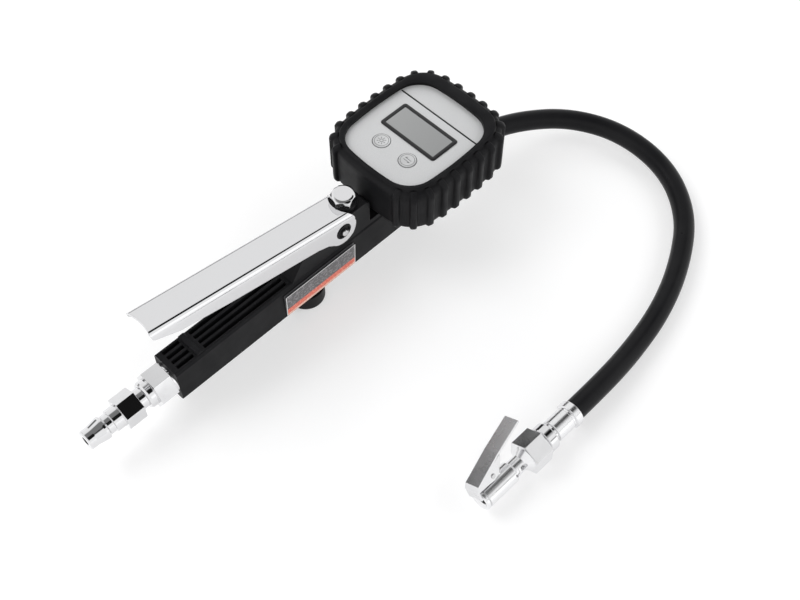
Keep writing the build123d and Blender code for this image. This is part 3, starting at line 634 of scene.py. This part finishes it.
# ---- side label --------------------------------------------------------------------
def add_panel(name, low, high, lift, surface, to_place):
    """A thin flat panel between two corners on the label's plane, with a small bevel."""
    bevel_width = 0.12
    bevel_height = 0.05
    loops = []
    for inset, height in ((0.0, 0.0), (0.0, lift), (bevel_width, lift + bevel_height)):
        left, foot = low[0] + inset, low[1] + inset
        right, head = high[0] - inset, high[1] - inset
        ring = ((left, foot), (right, foot), (right, head), (left, head))
        loops.append([to_place(along, up, height) for along, up in ring])
    made = skin(name, loops, surface, "gun", capped=True)
    for face in made.data.polygons:
        face.use_smooth = False


def add_label():
    """The printed film on the near side of the handle: white border, speckled panel, orange stripe."""
    low, high = corners("side_label")
    # the film leans out by 0.9 mm over 26.1 mm, although the CAD label leans in by as much
    lean = Vector((0.0, -0.9, 26.1)).normalized()
    outwards = Vector((0.0, -lean.z, lean.y))
    clearance = 0.03
    origin = Vector((0.0, low.y - clearance, low.z))
    span = (high.z - low.z) / lean.z
    border_width = 0.8
    left, right = low.x + border_width, high.x - border_width
    edge_top = 2.6           # up the label, where the stripe covers the foot of the panel
    panel_foot = 6.4
    stripe_top = 7.8

    def to_place(along, up, height):
        """A point of the label from its distances along the handle, up its side and out from it."""
        return Vector((along, 0.0, 0.0)) + origin + lean * up + outwards * height

    add_panel("label_border", (low.x + 0.1, 0.2), (high.x - 0.1, span - 0.3), 0.02, PRINT_WHITE, to_place)
    add_panel("label_panel", (left, panel_foot), (right, span - 1.0), 0.07, LABEL_PANEL, to_place)
    add_panel("label_stripe", (left, edge_top), (right, stripe_top), 0.09, LABEL_STRIPE, to_place)
    add_panel("label_edge", (left, 0.3), (right, edge_top), 0.09, LABEL_EDGE, to_place)


add_label()


# ---- hose --------------------------------------------------------------------------
def add_hose():
    """The hose leaves the outlet, sags to the surface, curls round and rises to the chuck."""
    route = [
        (160, 0, 28), (188, 0, 28), (219, -9, 24.5), (254, -31, 18.5),
        (275, -67, 13), (274, -111, 9), (250, -148, 7.6), (211, -172, 7.6),
        (170, -187, 7.8), (128, -194, 9), (92, -197, 13), (64, -197, 13),
    ]
    radius = 7.5
    data = bpy.data.curves.new("hose", "CURVE")
    data.dimensions = "3D"
    data.bevel_depth = radius * MM
    data.bevel_resolution = 10
    data.resolution_u = 24
    data.use_fill_caps = True
    spline = data.splines.new("NURBS")
    spline.points.add(len(route) - 1)
    for point, place in zip(spline.points, route):
        point.co = (*(Vector(place) * MM), 1.0)
    spline.order_u = 3
    spline.use_endpoint_u = True
    hose = bpy.data.objects.new("hose", data)
    bpy.context.scene.collection.objects.link(hose)
    data.materials.append(HOSE.material)
    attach(hose, "gun")
    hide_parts("air_hose")


add_hose()


# ---- studio ------------------------------------------------------------------------
def sky():
    """A pale studio that shows in reflections, with a few soft round patches, brighter or darker."""
    open_sky = 1.05
    # azimuth and elevation of the centre, angles where the edge starts and ends, in degrees, and brightness
    patches = (
        (0.0, 90.0, 22.0, 44.0, 0.22), (-62.0, 8.0, 14.0, 24.0, 1.35), (45.0, 37.0, 20.0, 33.0, 0.96),
        (-6.0, 56.0, 11.0, 15.5, 0.01), (-82.0, 60.0, 15.0, 19.0, 0.01), (-66.0, 26.0, 3.0, 6.0, 0.25),
        (104.0, 12.0, 9.0, 21.0, 0.13), (60.0, 4.0, 9.0, 16.0, 0.30),
    )
    world = bpy.data.worlds.new("sky")
    world.use_nodes = True
    tree = world.node_tree
    way = tree.nodes.new("ShaderNodeTexCoord").outputs["Generated"]

    def within(azimuth, elevation, soft_start, soft_end):
        """One inside a round patch of the sky, falling to nought between two angles from its centre."""
        azimuth, elevation = math.radians(azimuth), math.radians(elevation)
        dot = tree.nodes.new("ShaderNodeVectorMath")
        dot.operation = "DOT_PRODUCT"
        dot.inputs[1].default_value = (
            math.cos(azimuth) * math.cos(elevation), math.sin(azimuth) * math.cos(elevation),
            math.sin(elevation),
        )
        tree.links.new(way, dot.inputs[0])
        fall = tree.nodes.new("ShaderNodeMapRange")
        fall.interpolation_type = "SMOOTHSTEP"
        fall.inputs["From Min"].default_value = math.cos(math.radians(soft_end))
        fall.inputs["From Max"].default_value = math.cos(math.radians(soft_start))
        tree.links.new(dot.outputs["Value"], fall.inputs["Value"])
        return fall.outputs["Result"]

    below = None
    for azimuth, elevation, soft_start, soft_end, brightness in patches:
        mix = tree.nodes.new("ShaderNodeMix")
        mix.data_type = "RGBA"
        tree.links.new(within(azimuth, elevation, soft_start, soft_end), mix.inputs["Factor"])
        mix.inputs[6].default_value = (open_sky, open_sky, open_sky, 1.0)
        mix.inputs[7].default_value = (brightness, brightness, brightness, 1.0)
        if below is not None:
            tree.links.new(below, mix.inputs[6])
        below = mix.outputs[2]
    tree.links.new(below, tree.nodes["Background"].inputs["Color"])
    tree.nodes["Background"].inputs["Strength"].default_value = 1.0
    return world


def add_studio():
    """A plain pale floor, a bright sky and large soft lamps that reflections leave out."""
    data = bpy.data.meshes.new("floor")
    shape = bmesh.new()
    bmesh.ops.create_grid(shape, x_segments=1, y_segments=1, size=6.0)
    shape.to_mesh(data)
    shape.free()
    floor = bpy.data.objects.new("floor", data)
    bpy.context.scene.collection.objects.link(floor)
    glow = 0.46              # keeps the floor near white, as in the photo
    paint = Surface(
        "floor", (0.58, 0.58, 0.58), 0.7, Emission_Color=(1.0, 1.0, 1.0, 1.0), Emission_Strength=glow,
    )
    paint.vary_colour(3.0, (0.57, 0.57, 0.575))
    data.materials.append(paint.material)
    bpy.context.scene.world = sky()
    aim = Vector((0.05, -0.05, 0.0))
    lamps = [   # place in metres, side in metres and power in watts
        ("key", (-0.5, 0.7, 1.2), 0.8, 7.5),
        ("fill", (0.9, -0.9, 0.9), 0.8, 3.5),
        ("rear", (0.5, 0.9, 0.6), 0.5, 2.0),
    ]
    for name, place, size, power in lamps:
        light = bpy.data.lights.new(name, "AREA")
        light.shape = "SQUARE"
        light.size = size
        light.energy = power
        lamp = bpy.data.objects.new(name, light)
        lamp.visible_glossy = False
        lamp.location = place
        lamp.rotation_euler = (aim - Vector(place)).to_track_quat("-Z", "Y").to_euler()
        bpy.context.scene.collection.objects.link(lamp)
    bpy.context.scene.view_settings.view_transform = "Standard"


add_studio()
